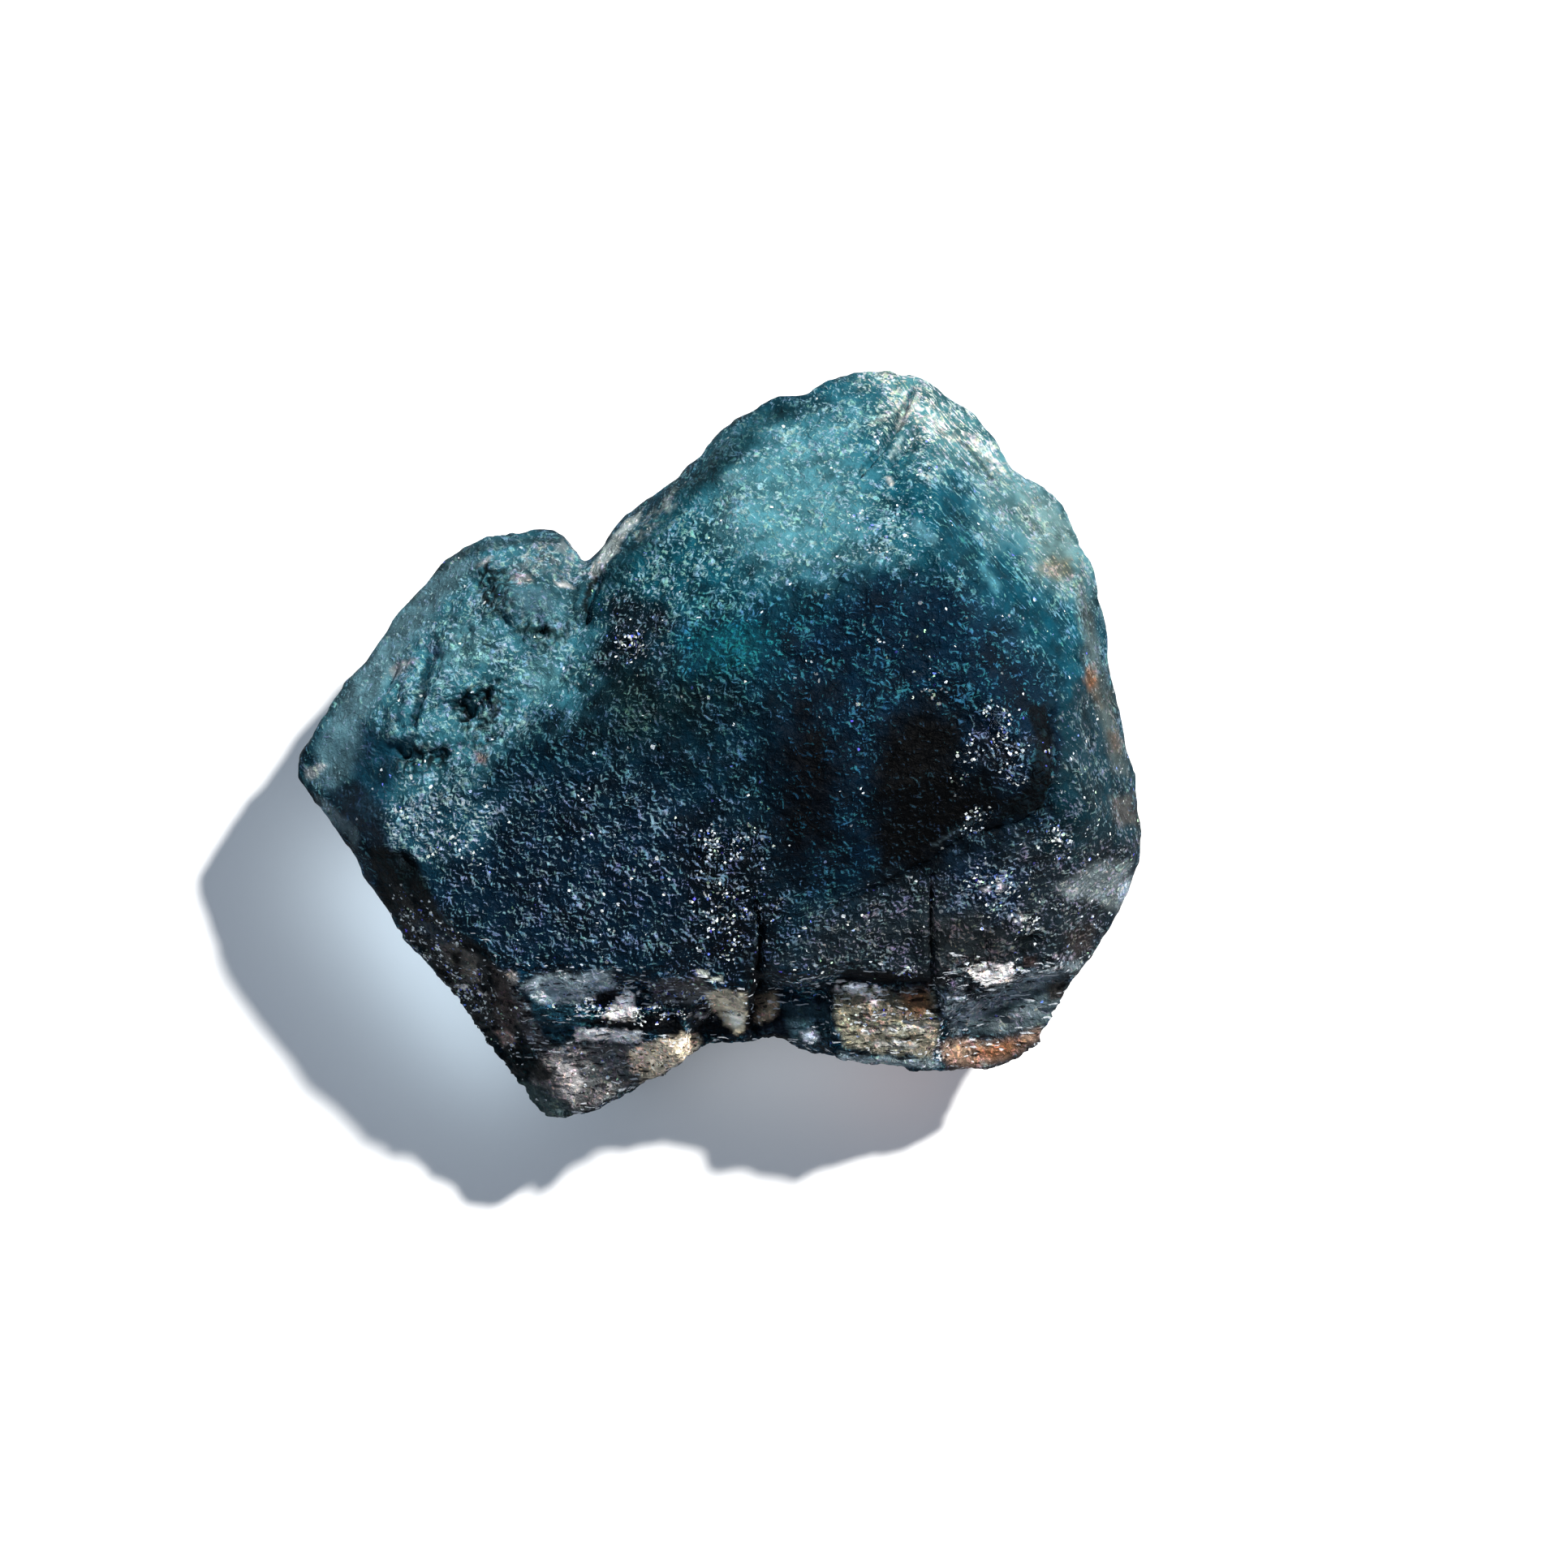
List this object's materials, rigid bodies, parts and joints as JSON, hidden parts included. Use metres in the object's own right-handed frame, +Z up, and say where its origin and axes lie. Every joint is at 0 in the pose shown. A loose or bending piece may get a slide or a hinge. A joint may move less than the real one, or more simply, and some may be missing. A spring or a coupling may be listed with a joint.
{
  "type": "fluorite crystal specimen",
  "caption": "Rough, etched blue-green fluorite specimen: a broad octahedral crystal with a smaller one intergrown on its left side, resting on a flat face.",
  "frame": {"origin": "middle of the bounding box's bottom, on the surface that the stone rests on", "axes": "+X towards the right corner, along the longest side; +Y towards the back, where the apex is; +Z up, out of the broad upper face"},
  "size_m": [0.045, 0.04, 0.0181],
  "materials": {
    "fluorite": "translucent, etched and frosted"
  },
  "bodies": {
    "root": {"fluorite_crystal": "fluorite"}
  },
  "joints": []
}
